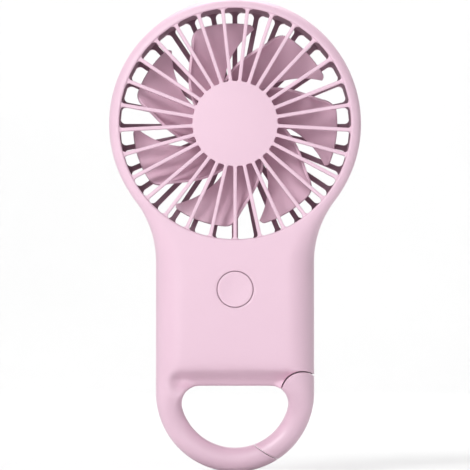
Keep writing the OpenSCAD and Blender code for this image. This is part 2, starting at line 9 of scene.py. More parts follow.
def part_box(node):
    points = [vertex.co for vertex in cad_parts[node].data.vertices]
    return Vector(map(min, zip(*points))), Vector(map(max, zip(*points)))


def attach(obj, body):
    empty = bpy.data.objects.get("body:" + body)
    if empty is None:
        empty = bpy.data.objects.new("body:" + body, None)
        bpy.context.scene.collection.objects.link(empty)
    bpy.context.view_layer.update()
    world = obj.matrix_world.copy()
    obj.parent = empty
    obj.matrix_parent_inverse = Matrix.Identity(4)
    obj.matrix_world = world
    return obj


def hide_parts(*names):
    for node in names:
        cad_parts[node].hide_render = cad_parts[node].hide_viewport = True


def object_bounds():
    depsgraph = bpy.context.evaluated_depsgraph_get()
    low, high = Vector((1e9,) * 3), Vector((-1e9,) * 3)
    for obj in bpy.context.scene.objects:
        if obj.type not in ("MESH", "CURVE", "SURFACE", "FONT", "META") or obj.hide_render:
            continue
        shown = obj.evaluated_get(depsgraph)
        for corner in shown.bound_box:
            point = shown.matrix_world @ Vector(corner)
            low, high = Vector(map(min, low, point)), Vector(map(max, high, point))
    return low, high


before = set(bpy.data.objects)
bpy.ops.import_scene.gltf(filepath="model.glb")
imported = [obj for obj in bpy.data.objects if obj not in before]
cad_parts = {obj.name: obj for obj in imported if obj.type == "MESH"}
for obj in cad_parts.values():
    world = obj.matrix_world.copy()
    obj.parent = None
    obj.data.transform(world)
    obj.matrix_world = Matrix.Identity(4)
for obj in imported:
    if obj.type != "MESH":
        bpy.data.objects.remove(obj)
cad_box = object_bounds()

# ---- Camera, floor and light ----
# A long lens held low in front of the fan and tilted up a little. The floor is a round sheet of
# pale paper that sweeps up all round the fan, under a key light, a softbox and an overhead light.
metre = 1000.0                                  # shapes are worked out in millimetres
full_turn = 2 * math.pi
quarter_turn = math.pi / 2
camera_distance = 1.52
camera_height = 0.018
view_height = 0.0536                            # the height that the camera looks at
camera_turn = math.radians(-0.2)
frame_height = 0.1598                           # height of the view where the fan stands

camera_data = bpy.data.cameras.new("front_camera")
camera = bpy.data.objects.new("front_camera", camera_data)
bpy.context.scene.collection.objects.link(camera)
bpy.context.scene.camera = camera
camera_data.sensor_width = 36.0
camera_data.lens = camera_data.sensor_width * camera_distance / frame_height
camera_data.clip_end = 20.0
aim = Vector((0.0, 0.0, view_height))
away = Vector((math.sin(camera_turn), -math.cos(camera_turn), 0)) * camera_distance
camera.location = aim + away + Vector((0, 0, camera_height - view_height))
camera.rotation_euler = (aim - camera.location).to_track_quat("-Z", "Y").to_euler()

floor_gap = 0.0004
floor_z = cad_box[0][2] - floor_gap
floor_r = 2.2
sweep_r = 0.8
studio_top = 2.6
sweep_steps = 16
round_steps = 96
bm = bmesh.new()
path = [bm.verts.new((0, 0, floor_z))]
for step in range(sweep_steps + 1):
    angle = quarter_turn * step / sweep_steps
    path.append(bm.verts.new((floor_r + sweep_r * math.sin(angle), 0,
                              floor_z + sweep_r * (1 - math.cos(angle)))))
path.append(bm.verts.new((floor_r + sweep_r, 0, studio_top)))
rise = [bm.edges.new(pair) for pair in zip(path, path[1:])]
bmesh.ops.spin(bm, geom=path + rise, cent=(0, 0, 0), axis=(0, 0, 1), angle=full_turn,
               steps=round_steps, use_merge=True)
bmesh.ops.remove_doubles(bm, verts=bm.verts, dist=floor_gap)
bmesh.ops.recalc_face_normals(bm, faces=bm.faces)
floor_mesh = bpy.data.meshes.new("studio_floor")
bm.to_mesh(floor_mesh)
bm.free()
floor_mesh.polygons.foreach_set("use_smooth", [True] * len(floor_mesh.polygons))
studio_floor = bpy.data.objects.new("studio_floor", floor_mesh)
bpy.context.scene.collection.objects.link(studio_floor)


class Socket:
    """A socket of a material's node tree. Arithmetic on it adds Math nodes."""

    def __init__(self, tree, socket):
        self.tree = tree
        self.socket = socket

    def node(self, kind, settings, inputs, output=0):
        """Makes any node: its settings first, then the values or links of its inputs."""
        made = self.tree.nodes.new(kind)
        for name, value in settings.items():
            setattr(made, name, value)
        for name, value in inputs.items():
            if isinstance(value, Socket):
                self.tree.links.new(value.socket, made.inputs[name])
            else:
                made.inputs[name].default_value = value
        return Socket(self.tree, made.outputs[output])

    def math(self, operation, first, second):
        """Makes a Math node of two numbers or sockets."""
        return self.node("ShaderNodeMath", {"operation": operation}, {0: first, 1: second})

    def __add__(self, other):
        return self.math("ADD", self, other)

    def __radd__(self, other):
        return self.math("ADD", other, self)

    def __sub__(self, other):
        return self.math("SUBTRACT", self, other)

    def __rsub__(self, other):
        return self.math("SUBTRACT", other, self)

    def __mul__(self, other):
        return self.math("MULTIPLY", self, other)

    def __rmul__(self, other):
        return self.math("MULTIPLY", other, self)


def new_material(name):
    """A material with its shader, and the object's own coordinates to start from."""
    material = bpy.data.materials.new(name)
    material.use_nodes = True
    tree = material.node_tree
    shader = tree.nodes["Principled BSDF"]
    place = tree.nodes.new("ShaderNodeTexCoord").outputs["Object"]
    return material, tree, shader, Socket(tree, place)


def feed(shader, name, value):
    """Sets a shader socket to a number or colour, or links what varies to it."""
    if isinstance(value, Socket):
        value.tree.links.new(value.socket, shader.inputs[name])
    else:
        shader.inputs[name].default_value = value


def mix_colour(factor, low, high):
    """A colour that goes from low to high as factor goes from 0 to 1."""
    return factor.node("ShaderNodeMix", {"data_type": "RGBA"}, {0: factor, 6: low, 7: high}, 2)


paper_dark = (0.66, 0.66, 0.66, 1)
paper_light = (0.70, 0.70, 0.70, 1)
paper_roughness = 0.6
paper_change = 0.1
floor_material, tree, shader, place = new_material("studio_paper")
mottle = place.node("ShaderNodeTexNoise", {}, {"Vector": place, "Scale": 3.0, "Detail": 3.0})
feed(shader, "Base Color", mix_colour(mottle, paper_dark, paper_light))
feed(shader, "Roughness", paper_roughness + paper_change * mottle)
floor_mesh.materials.append(floor_material)


def area_light(name, place, size, power, aim_at):
    """A soft square light that points at a place."""
    data = bpy.data.lights.new(name, "AREA")
    data.shape = "SQUARE"
    data.size = size
    data.energy = power
    light = bpy.data.objects.new(name, data)
    light.location = place
    light.rotation_euler = (Vector(aim_at) - Vector(place)).to_track_quat("-Z", "Y").to_euler()
    bpy.context.scene.collection.objects.link(light)


fan_middle = (0, 0, 0.06)
area_light("key_light", place=(-0.78, -1.55, 0.98), size=0.6, power=22.5, aim_at=fan_middle)
area_light("front_softbox", place=(-0.25, -2.0, 0.10), size=1.0, power=9.0, aim_at=fan_middle)
area_light("overhead", place=(0.0, 1.0, 2.4), size=1.6, power=84.0, aim_at=(0, 1.9, 0))
world = bpy.data.worlds.new("studio_air")
bpy.context.scene.world = world
world.use_nodes = True
world.node_tree.nodes["Background"].inputs["Color"].default_value = (1, 1, 1, 1)
world.node_tree.nodes["Background"].inputs["Strength"].default_value = 0.05
bpy.context.scene.view_settings.view_transform = "Standard"

# ---- Front shell ----
# One satin pink moulding: the rim and ribs of the front grille with its plain disc, the front of
# the handle and the front half of the loop. Screw bosses stand inside it, and half of a tongue.
shell_low, shell_high = [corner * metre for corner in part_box("front_shell")]
pin_low, pin_high = [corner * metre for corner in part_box("gate_pin")]
cap_low, cap_high = [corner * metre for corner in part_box("button_cap")]
shaft_low, shaft_high = [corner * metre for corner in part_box("motor_shaft")]
half_w = -shell_low.z
half_t = -shell_low.y
head_r = shell_high.x
head_z = (shaft_low.z + shaft_high.z) / 2
limb_x = (pin_low.x + pin_high.x) / 2
button_z = (cap_low.z + cap_high.z) / 2
grille_r = 39.1
neck_r = 34.0
wall = 2.0
neck_x = half_w + neck_r
neck_rise = math.sqrt((head_r + neck_r) ** 2 - neck_x ** 2)
neck_z = head_z - neck_rise
neck_turn = math.atan2(neck_rise, neck_x)

# The loop, its opening, and the ledge above it
loop_t = 6.5
limb_w = 2 * (half_w - limb_x)
opening_r = half_w - limb_w
opening_top = 2.4
corner_r = 6.1
corner_z = opening_top - corner_r
corner_x = math.sqrt((opening_r - corner_r) ** 2 - corner_z ** 2)
ledge_z = 7.2
ledge_half = 17.5
ledge_turn_r = 5.0
cove_w = 4.8
cove_curve = 1.8
cove_fade_low = -5.5
cove_fade_high = 2.6
cove_side_start = 11.0                          # towards the sides the hollow fades out sooner
cove_side_end = 18.0
cove_side_drop = 3.6
crease_soft = 1.5
taper_low = -14.0
taper_high = 9.0

# Rounding of the edges, and the heights between which one passes into the next
head_edge = 3.2
handle_edge = 9.3
limb_edge = 4.0
bar_edge = 1.2
head_edge_low = 42.0
head_edge_high = 66.0
limb_edge_low = -8.0
limb_edge_high = 12.0
bar_edge_low = -9.0
bar_edge_high = 1.0
grille_edge = 0.6
seam_edge = 0.18

# The gate's seams
knuckle_r = 7.0
knuckle_gap = 0.42
gate_reach = 24.0
reach_gap = 0.12
button_r = 6.0
button_gap = 0.22
rib_depth = 3.4
rib_front = half_t - grille_edge
rib_back = rib_front - rib_depth


def ease(low, high, value):
    """0 below low, 1 above high, and a smooth step between."""
    share = min(1.0, max(0.0, (value - low) / (high - low)))
    return share * share * (3 - 2 * share)


def outline_depth(x, z):
    """How far inside the body's outline a point of the front view lies."""
    x = abs(x)
    if z > neck_z and math.atan2(head_z - z, x) > neck_turn:
        return math.hypot(x - neck_x, z - neck_z) - neck_r
    if z > neck_z:
        return head_r - math.hypot(x, z - head_z)
    return half_w - (x if z > 0 else math.hypot(x, z))


def opening_depth(x, z):
    """How far outside the loop's opening a point of the front view lies."""
    x = abs(x)
    if corner_x * z - corner_z * x < 0:
        return math.hypot(x, z) - opening_r
    if x > corner_x:
        return math.hypot(x - corner_x, z - corner_z) - corner_r
    return z - opening_top


def round_off(depth, radius):
    """How far a rounded edge has fallen at a depth inside it."""
    if depth >= radius:
        return 0.0
    return radius - math.sqrt(max(0.0, radius ** 2 - (radius - max(depth, 0.0)) ** 2))


def outer_edge(z):
    """Radius of the outer edge's rounding at a height."""
    above = handle_edge + (head_edge - handle_edge) * ease(head_edge_low, head_edge_high, z)
    return limb_edge + (above - limb_edge) * ease(limb_edge_low, limb_edge_high, z)


def opening_edge(z):
    """Radius of the rounding of the loop's opening at a height."""
    return limb_edge + (bar_edge - limb_edge) * ease(bar_edge_low, bar_edge_high, z)


def limb_thickness(z):
    """Half the thickness that the limbs taper to at a height."""
    return loop_t + (half_t - loop_t) * ease(taper_low, taper_high, z)


def half_thickness(x, z):
    """Half the body's thickness, with the hollow under the ledge and the limbs' taper."""
    limb = limb_thickness(z)
    across = abs(x) - ledge_half
    up = z - (ledge_z - ledge_turn_r)
    outside = math.hypot(max(across, 0.0), max(up, 0.0)) + min(max(across, up), 0.0)
    depth = ledge_turn_r - outside
    depth = (depth + math.sqrt(depth ** 2 + crease_soft ** 2)) / 2
    share = max(0.0, 1 - depth / cove_w)
    lower = cove_side_drop * ease(cove_side_start, cove_side_end, abs(x))
    fade = ease(cove_fade_low, cove_fade_high, z - lower)
    return limb - (limb - loop_t) * (1 - share ** cove_curve) * fade


def rounded_surface(x, z, thickness):
    """How far the outside stands from the middle plane, its edges rounded."""
    height = thickness - round_off(outline_depth(x, z), outer_edge(z))
    height -= round_off(opening_depth(x, z), opening_edge(z))
    return height - round_off(math.hypot(x, z - head_z) - grille_r, grille_edge)


plan_step = 0.8                                 # spacing of the points along an outline
fine_step = 0.2
touch = 0.02                                    # points this near each other are one


def arc(centre, radius, start, end, step=plan_step):
    """Points along an arc seen from the front, with angles in radians from the right."""
    count = max(3, math.ceil(abs(end - start) * radius / step))
    turns = [start + (end - start) * i / count for i in range(count + 1)]
    return [(centre[0] + radius * math.cos(a), centre[1] + radius * math.sin(a)) for a in turns]


def line(start, end):
    """Points along a straight line seen from the front."""
    count = max(1, math.ceil(math.dist(start, end) / plan_step))
    return [(start[0] + (end[0] - start[0]) * i / count,
             start[1] + (end[1] - start[1]) * i / count) for i in range(count + 1)]


def chain(*stretches):
    """Joins stretches into one closed loop without repeated points."""
    loop = []
    for point in [p for stretch in stretches for p in stretch]:
        if not loop or math.dist(point, loop[-1]) > touch:
            loop.append(point)
    return loop if math.dist(loop[0], loop[-1]) > touch else loop[:-1]


def angle_to(centre, point):
    """Direction of a point from a centre."""
    return math.atan2(point[1] - centre[1], point[0] - centre[0])


def crossing(first, first_r, second, second_r, side):
    """Where two circles cross; side picks the crossing left (1) or right (-1) of first to second."""
    apart = math.dist(first, second)
    along = (apart ** 2 + first_r ** 2 - second_r ** 2) / (2 * apart)
    off = side * math.sqrt(first_r ** 2 - along ** 2)
    ux, uz = (second[0] - first[0]) / apart, (second[1] - first[1]) / apart
    return first[0] + along * ux - off * uz, first[1] + along * uz + off * ux


middle = (0.0, 0.0)
head = (0.0, head_z)
pivot = (limb_x, 0.0)
corner = (corner_x, corner_z)


def knuckle_ends(radius):
    """Where a circle about the pivot meets the handle's side and the opening's corner."""
    side = (half_w, math.sqrt(radius ** 2 - (half_w - limb_x) ** 2))
    return side, crossing(pivot, radius, corner, corner_r, -1)


def reach_ends(radius):
    """Where a circle about the pivot meets the loop's outside and its opening."""
    return (crossing(pivot, radius, middle, half_w, 1),
            crossing(pivot, radius, middle, opening_r, 1))


def upper_outline():
    """The outline from the right side at the neck's foot, over the head, to the left side."""
    left = (-neck_x, neck_z)
    right = (neck_x, neck_z)
    return [arc(right, neck_r, math.pi, math.pi - neck_turn),
            arc(head, head_r, -neck_turn, math.pi + neck_turn),
            arc(left, neck_r, neck_turn, 0)]


def shell_outline():
    """Outside of a shell seen from the front, with the gate's room cut away."""
    side, inner = knuckle_ends(knuckle_r + knuckle_gap)
    outer_end, inner_end = reach_ends(gate_reach + reach_gap)
    fall = math.atan2(corner_z, -corner_x)
    return chain(
        line(side, (half_w, neck_z)), *upper_outline(), line((-half_w, neck_z), (-half_w, 0)),
        arc(middle, half_w, -math.pi, angle_to(middle, outer_end)),
        arc(pivot, gate_reach + reach_gap, angle_to(pivot, outer_end), angle_to(pivot, inner_end)),
        arc(middle, opening_r, angle_to(middle, inner_end), fall),
        arc((-corner_x, corner_z), corner_r, fall + full_turn, quarter_turn),
        line((-corner_x, opening_top), (corner_x, opening_top)),
        arc(corner, corner_r, quarter_turn, angle_to(corner, inner)),
        arc(pivot, knuckle_r + knuckle_gap, angle_to(pivot, inner), angle_to(pivot, side)))


def shell_seam_depth(x, z):
    """Distance of a point of a shell from the gate's seams."""
    from_pivot = math.dist((x, z), pivot)
    knuckle = from_pivot - knuckle_r - knuckle_gap
    if z < 0 and x > 0 and from_pivot > limb_w:
        return abs(from_pivot - gate_reach - reach_gap)
    return knuckle


def inward(loop, index):
    """The direction into the sheet at a point of an anticlockwise loop."""
    before, after = loop[index - 1], loop[(index + 1) % len(loop)]
    dx, dz = after[0] - before[0], after[1] - before[1]
    length = math.hypot(dx, dz)
    return -dz / length, dx / length


def signed_area(loop):
    """Area of a loop, above 0 where it runs anticlockwise."""
    return sum(a[0] * b[1] - b[0] * a[1] for a, b in zip(loop, loop[1:] + loop[:1])) / 2


def is_inside(place, loop):
    """Whether a point of the front view lies inside a loop."""
    x, z = place
    inside = False
    for (ax, az), (bx, bz) in zip(loop, loop[1:] + loop[:1]):
        if (az > z) != (bz > z) and x < ax + (z - az) * (bx - ax) / (bz - az):
            inside = not inside
    return inside


rings_per_edge = 4                              # rows of points over a rounding of 1 mm
clear_of_ring = 0.8                             # shares of a step that points keep clear
clear_of_edge = 0.5
row_start = 0.3
net_kind = 1                                    # a net of triangles inside the outer border
net_merge = 0.0005


def sheet(bm, loops, height, clearance, edges, spacing, dense=()):
    """Adds a curved sheet over an area seen from the front. loops are its borders, the outer one
    first; height gives a point's distance from the middle plane; clearance its distance from
    every border; edges the rounding at a border point; dense lists boxes with closer points.
    Returns the border vertices, by loop."""
    points, borders, links = [], [], []
    turned = [loop if (signed_area(loop) > 0) == (number == 0) else loop[::-1]
              for number, loop in enumerate(loops)]
    for loop in turned:
        first = len(points)
        points += loop
        borders.append(range(first, len(points)))
        links += [(i, i + 1) for i in borders[-1][:-1]] + [(len(points) - 1, first)]
    links_end = len(points)
    for loop in turned:
        for i, (x, z) in enumerate(loop):
            radius = edges(x, z)
            nx, nz = inward(loop, i)
            rings = math.ceil(rings_per_edge * math.sqrt(radius))
            for ring in range(1, rings + 1):
                off = radius * (1 - math.cos(quarter_turn * ring / rings))
                place = (x + nx * off, z + nz * off)
                if clearance(*place) > clear_of_ring * off:
                    points.append(place)
    lows = [min(p[axis] for p in loops[0]) for axis in (0, 1)]
    highs = [max(p[axis] for p in loops[0]) for axis in (0, 1)]
    for low_x, high_x, low_z, high_z, step in [(lows[0], highs[0], lows[1], highs[1], spacing),
                                               *dense]:
        for row in range(int((high_z - low_z) / step)):
            z = low_z + (row + 0.5) * step
            for column in range(int((high_x - low_x) / step)):
                x = low_x + (column + 0.5 * (row % 2) + row_start) * step
                if clearance(x, z) > clear_of_edge * step:
                    points.append((x, z))
    made, _, faces, origins, _, _ = delaunay_2d_cdt(
        [Vector(p) for p in points], links, [], net_kind, net_merge)
    verts = [bm.verts.new((p.x, -height(p.x, p.y), p.y)) for p in made]
    on_border = [any(old < links_end for old in olds) for olds in origins]
    for face in faces:
        centre = sum((made[i] for i in face), Vector((0, 0))) / 3
        if all(on_border[i] for i in face) and any(is_inside(centre, hole) for hole in loops[1:]):
            continue
        bm.faces.new([verts[i] for i in face])
    place_of = {old: new for new, olds in enumerate(origins) for old in olds}
    return [[verts[place_of[i]] for i in border] for border in borders]


shell_loop = shell_outline()
grille_loop = arc(head, grille_r, 0, full_turn)[:-1]
button = (0.0, button_z)


def shell_clearance(x, z):
    """Distance of a point of a shell from its nearest border; below 0 where the gate is."""
    if z < 0 < x and math.dist((x, z), pivot) < gate_reach + reach_gap:
        return -1.0
    return min(outline_depth(x, z), opening_depth(x, z), shell_seam_depth(x, z),
               math.dist((x, z), head) - grille_r)


def shell_edge(x, z):
    """Rounding of a shell's edge at a border point."""
    if abs(outline_depth(x, z)) < touch:
        return outer_edge(z)
    if abs(math.dist((x, z), head) - grille_r) < touch:
        return grille_edge
    if abs(opening_depth(x, z)) < touch:
        return opening_edge(z)
    return seam_edge


def shell_surface(x, z):
    """The body's surface with the gate's seams softened."""
    height = rounded_surface(x, z, half_thickness(x, z))
    return height - round_off(shell_seam_depth(x, z), seam_edge)


# The hollow of the handle, seen from the front
floor_level = ledge_z + wall
hollow_round = handle_edge - wall
floor_round = 1.0
duct_r = grille_r + wall


def hollow_outline():
    """Outline of the handle's hollow, under the duct's wall."""
    side_x = half_w - wall
    neck = (neck_x, neck_z)
    neck_top = crossing(head, duct_r, neck, neck_r + wall, -1)
    start = angle_to(neck, neck_top)
    duct_start = angle_to(head, neck_top)
    return chain(
        line((-side_x, floor_level), (side_x, floor_level)),
        line((side_x, floor_level), (side_x, neck_z)),
        arc(neck, neck_r + wall, math.pi, start),
        arc(head, duct_r, duct_start, -math.pi - duct_start),
        arc((-neck_x, neck_z), neck_r + wall, math.pi - start, 0),
        line((-side_x, neck_z), (-side_x, floor_level)))


def hollow_clearance(x, z):
    """Distance of a point of the hollow from its nearest border."""
    return min(outline_depth(x, z) - wall, z - floor_level, math.dist((x, z), head) - duct_r)


def hollow_surface(x, z):
    """How far the hollow's ceiling stands from the middle plane."""
    height = half_t - wall - round_off(outline_depth(x, z) - wall, hollow_round)
    return height - round_off(z - floor_level, floor_round)


def swept_wall(bm, border, rings):
    """Pulls a sheet's border backwards. Each ring gives a depth and a shift into the sheet."""
    plan = [Vector((v.co.x, v.co.z)) for v in border]
    shifts = [Vector(inward(plan, i)) for i in range(len(plan))]
    edges = [bm.edges.get((a, b)) for a, b in zip(border, border[1:] + border[:1])]
    ring = border
    for depth, shift in rings:
        made = bmesh.ops.extrude_edge_only(bm, edges=edges)["geom"]
        fresh = {v for v in made if isinstance(v, bmesh.types.BMVert)}
        follow = [next(e.other_vert(v) for e in v.link_edges if e.other_vert(v) in fresh)
                  for v in ring]
        for vert, spot, way in zip(follow, plan, shifts):
            place = spot + way * shift
            vert.co = (place.x, depth, place.y)
        ring = follow
        edges = [bm.edges.get((a, b)) for a, b in zip(ring, ring[1:] + ring[:1])]


def shifted(loop, distance):
    """A loop moved into the sheet that it borders."""
    ways = [inward(loop, i) for i in range(len(loop))]
    return [(x + wx * distance, z + wz * distance) for (x, z), (wx, wz) in zip(loop, ways)]


groove_w = 0.14
groove_front = -0.18
hollow_loop = hollow_outline()


def flat(x, z):
    """The parting face: level with the middle plane, with square edges."""
    return 0.0


def no_room(x, z):
    """For a sheet that takes no points between its borders."""
    return -1.0


def ceiling_edge(x, z):
    """Rounding of the hollow's ceiling at a border point."""
    if abs(outline_depth(x, z) - wall) < touch:
        return hollow_round
    return floor_round if abs(z - floor_level) < touch else 0.0


hole_step = 0.5
shell_spacing = 1.1
crease_box = (-24.0, 24.0, 1.5, 8.5, 0.45)      # x, x, z, z and spacing where the ledge bends
ceiling_spacing = 1.6
parting_spacing = 6.0


def shell_body(holes):
    """Half of the housing as one closed body in front of the middle plane: the outside, the walls
    down to the parting face, and the handle's hollow. holes are round ones into the hollow."""
    def room(clearance):
        """The same clearance, kept from the round holes too."""
        return lambda x, z: min([clearance(x, z)] + [math.dist((x, z), at) - r for at, r in holes])

    def softened(x, z):
        """The shell's surface with the round holes' edges softened."""
        return shell_surface(x, z) - sum(round_off(math.dist((x, z), at) - r, seam_edge)
                                         for at, r in holes)

    loops = [arc(at, r, 0, full_turn, hole_step)[:-1] for at, r in holes]
    bm = bmesh.new()
    outside = sheet(bm, [shell_loop, grille_loop, *loops], softened, room(shell_clearance),
                    shell_edge, shell_spacing, [crease_box])
    ceiling = sheet(bm, [hollow_loop, *loops], hollow_surface, room(hollow_clearance),
                    ceiling_edge, ceiling_spacing)
    sheet(bm, [shifted(shell_loop, groove_w), grille_loop, hollow_loop], flat, no_room, flat,
          parting_spacing)
    swept_wall(bm, outside[0], [(groove_front, 0.0), (0.0, groove_w)])
    swept_wall(bm, outside[1], [(0.0, 0.0)])
    swept_wall(bm, ceiling[0], [(0.0, 0.0)])
    for top in outside[2:]:
        swept_wall(bm, top, [(wall - half_t, 0.0)])
    return closed(bm)


weld = 0.0008


def closed(bm):
    """Joins the sheets' shared borders and turns every face outwards."""
    bmesh.ops.remove_doubles(bm, verts=bm.verts, dist=weld)
    bmesh.ops.recalc_face_normals(bm, faces=bm.faces)
    return bm


def prism(plan, front, back, rounding=0.0):
    """A plan seen from the front as a solid between two depths, with its front edges rounded."""
    bm = bmesh.new()
    face = bm.faces.new([bm.verts.new((x, back, z)) for x, z in plan])
    made = bmesh.ops.extrude_face_region(bm, geom=[face], use_keep_orig=True)["geom"]
    verts = [g for g in made if isinstance(g, bmesh.types.BMVert)]
    bmesh.ops.translate(bm, verts=verts, vec=(0, front - back, 0))
    top = next(g for g in made if isinstance(g, bmesh.types.BMFace))
    if rounding:
        bmesh.ops.bevel(bm, geom=list(top.edges), offset=rounding, segments=3,
                        profile=0.5, affect="EDGES", material=-1, clamp_overlap=True)
    return closed(bm)


def turned(at, profile, steps):
    """A solid turned about the front-to-back line through a point of the front view. The profile
    lists radius and depth, and starts and ends on that line unless it is a ring's."""
    bm = bmesh.new()
    verts = [bm.verts.new((at[0] + r, y, at[1])) for r, y in profile]
    ends = [(verts[-1], verts[0])] if profile[0][0] else []
    edges = [bm.edges.new(pair) for pair in [*zip(verts, verts[1:]), *ends]]
    bmesh.ops.spin(bm, geom=verts + edges, cent=(at[0], 0, at[1]), axis=(0, 1, 0),
                   angle=full_turn, steps=steps, use_merge=True)
    return closed(bm)


def as_mesh(bm, name):
    """Writes a shape to a mesh and lets it go."""
    mesh = bpy.data.meshes.new(name)
    bm.to_mesh(mesh)
    bm.free()
    return mesh


def joined(parts):
    """Puts closed shapes together in one."""
    bm = bmesh.new()
    for part in parts:
        mesh = as_mesh(part, "part")
        bm.from_mesh(mesh)
        bpy.data.meshes.remove(mesh)
    return bm


def cut(bm, tool, operation="DIFFERENCE"):
    """Cuts one closed shape out of another, or welds it on."""
    objects = [bpy.data.objects.new(name, as_mesh(shape, name))
               for name, shape in (("blank", bm), ("tool", tool))]
    for obj in objects:
        bpy.context.scene.collection.objects.link(obj)
    modifier = objects[0].modifiers.new("cut", "BOOLEAN")
    modifier.operation = operation
    modifier.solver = "EXACT"
    modifier.object = objects[1]
    ready = objects[0].evaluated_get(bpy.context.evaluated_depsgraph_get())
    result = bmesh.new()
    result.from_mesh(ready.to_mesh())
    ready.to_mesh_clear()
    for obj in objects:
        bpy.data.meshes.remove(obj.data)
    return closed(result)


round_sides = 96                                # sides of the large turned pieces
bore_sides = 40
boss_sides = 32


def rounded_ring(outer, front, rounding, steps=5):
    """Profile of a disc's front corner: from its face round to its side."""
    turns = [quarter_turn * i / steps for i in range(steps + 1)]
    return [(outer - rounding + rounding * math.sin(a), front + rounding - rounding * math.cos(a))
            for a in turns]


wall_width = 0.1
slope = 0.5


def paint_duct_shade(bm):
    """Gives the duct's wall, and all that faces into the duct, the piece's second material: a darker
    pink that is painted shade inside the duct, where the real plastic is the shell's pink.
    """
    bm.normal_update()
    for face in bm.faces:
        centre = face.calc_center_median()
        radius = math.dist((centre.x, centre.z), head)
        on_wall = abs(radius - grille_r) < wall_width and abs(centre.y) < rib_back
        inwards = radius < grille_r and face.normal.y * math.copysign(1, centre.y) < -slope
        face.material_index = int(on_wall or inwards)
    return bm


sharp_angle = math.radians(35)


def finish_piece(bm, name, body, materials, nodes):
    """Makes a piece of a shape in millimetres: in metres, on its body, for its CAD nodes."""
    bmesh.ops.scale(bm, vec=(1 / metre,) * 3, verts=bm.verts)
    mesh = as_mesh(bm, name)
    mesh.polygons.foreach_set("use_smooth", [True] * len(mesh.polygons))
    mesh.set_sharp_from_angle(angle=sharp_angle)
    for material in materials:
        mesh.materials.append(material)
    piece = bpy.data.objects.new(name, mesh)
    bpy.context.scene.collection.objects.link(piece)
    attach(piece, body)
    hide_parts(*nodes)


edge_start = 0.53                               # how sharp an edge is when it starts to rub
edge_full = 0.62
rubbed_gain = 1.04                              # how much paler rubbed edges are
rubbed_share = 0.5
rubbed_polish = 0.06
scuff_depth = 0.07                              # scuffs change the roughness by this, up and down
coat_roughness = 0.38
grain_depth = 0.00005


def moulded(name, low, high, roughness, texture=0.5, gloss=0.6, coat=0.1):
    """Satin injection-moulded plastic: a fine spark-eroded texture, a faint flow of tone through
    the moulding, soft scuffs that change the gloss, and edges rubbed a little smoother."""
    material, tree, shader, place = new_material(name)
    flow = place.node("ShaderNodeTexNoise", {}, {"Vector": place, "Scale": 38.0, "Detail": 3.0})
    scuff = place.node("ShaderNodeTexNoise", {},
                       {"Vector": place, "Scale": 210.0, "Detail": 6.0, "Roughness": 0.65})
    grain = place.node("ShaderNodeTexNoise", {},
                       {"Vector": place, "Scale": 2600.0, "Detail": 2.0, "Roughness": 0.6})
    edge = place.node("ShaderNodeNewGeometry", {}, {}, 7)
    rubbed = edge.node("ShaderNodeMapRange", {},
                       {0: edge, 1: edge_start, 2: edge_full, 3: 0.0, 4: 1.0})
    paler = tuple(min(1.0, c * rubbed_gain) for c in high[:3]) + (1,)
    feed(shader, "Base Color",
         mix_colour(rubbed * rubbed_share * scuff, mix_colour(flow, low, high), paler))
    feed(shader, "Roughness",
         roughness - scuff_depth + 2 * scuff_depth * scuff - rubbed_polish * rubbed)
    feed(shader, "Specular IOR Level", gloss)
    feed(shader, "Coat Weight", coat)
    feed(shader, "Coat Roughness", coat_roughness)
    bump = grain.node("ShaderNodeBump", {},
                      {"Height": grain, "Strength": texture, "Distance": grain_depth})
    feed(shader, "Normal", bump)
    return material


pink_low = (0.765, 0.530, 0.645, 1)
pink_high = (0.795, 0.555, 0.670, 1)
# Painted shade: this darker pink replaces the shell's pink on the duct's wall and on the faces
# looking into the duct, standing in for the shade deep inside it. The same material is also matt.
shadow_low = (0.33, 0.215, 0.265, 1)
shadow_high = (0.36, 0.235, 0.29, 1)
shell_pink = moulded("satin_pink_shell", pink_low, pink_high, roughness=0.46)
painted_duct_shade = moulded("matt_pink_painted_duct_shade", shadow_low, shadow_high, roughness=0.8, gloss=0.1, coat=0.0)

# Ribs of the front grille: straight bars that flare where they meet the disc and the rim
front_ribs = 29
rib_w = 1.2
disc_r = 14.4
disc_t = 2.0
disc_rounding = 0.3
rib_rounding = 0.22
rib_sink = 0.02                                 # the ribs lie this far below the rim's face
rim_flare = 1.0
disc_flare = 0.5
buried = 0.5
flare_step = 0.25


def rib_plan(width, inner_r, inner_flare, outer_flare):
    """One rib seen from the front, lying along X, with its flares and its ends buried."""
    side = width / 2
    out_z = side + outer_flare
    out_x = math.sqrt((grille_r - outer_flare) ** 2 - out_z ** 2)
    in_z = side + inner_flare
    in_x = math.sqrt((inner_r + inner_flare) ** 2 - in_z ** 2)
    out_end = (grille_r + buried, grille_r * math.sin(math.atan2(out_z, out_x)))
    in_end = (inner_r - buried, inner_r * math.sin(math.atan2(in_z, in_x)))
    half = [in_end,
            *arc((in_x, in_z), inner_flare, math.atan2(in_z, in_x) + math.pi,
                 full_turn - quarter_turn, fine_step),
            *arc((out_x, out_z), outer_flare, -quarter_turn, math.atan2(out_z, out_x), flare_step),
            out_end]
    return [(x, -z) for x, z in half] + half[::-1]


def ribs(count, plan, front, back, rounding):
    """All the ribs of a grille, the first straight down."""
    bm = prism(plan, front, back, rounding)
    bmesh.ops.rotate(bm, verts=bm.verts, cent=(0, 0, 0),
                     matrix=Matrix.Rotation(quarter_turn, 3, "Y"))
    bmesh.ops.translate(bm, verts=bm.verts, vec=(0, 0, head_z))
    bmesh.ops.spin(bm, geom=bm.verts[:] + bm.edges[:] + bm.faces[:], cent=(0, 0, head_z),
                   axis=(0, 1, 0), angle=full_turn * (count - 1) / count, steps=count - 1,
                   use_duplicate=True)
    return bm


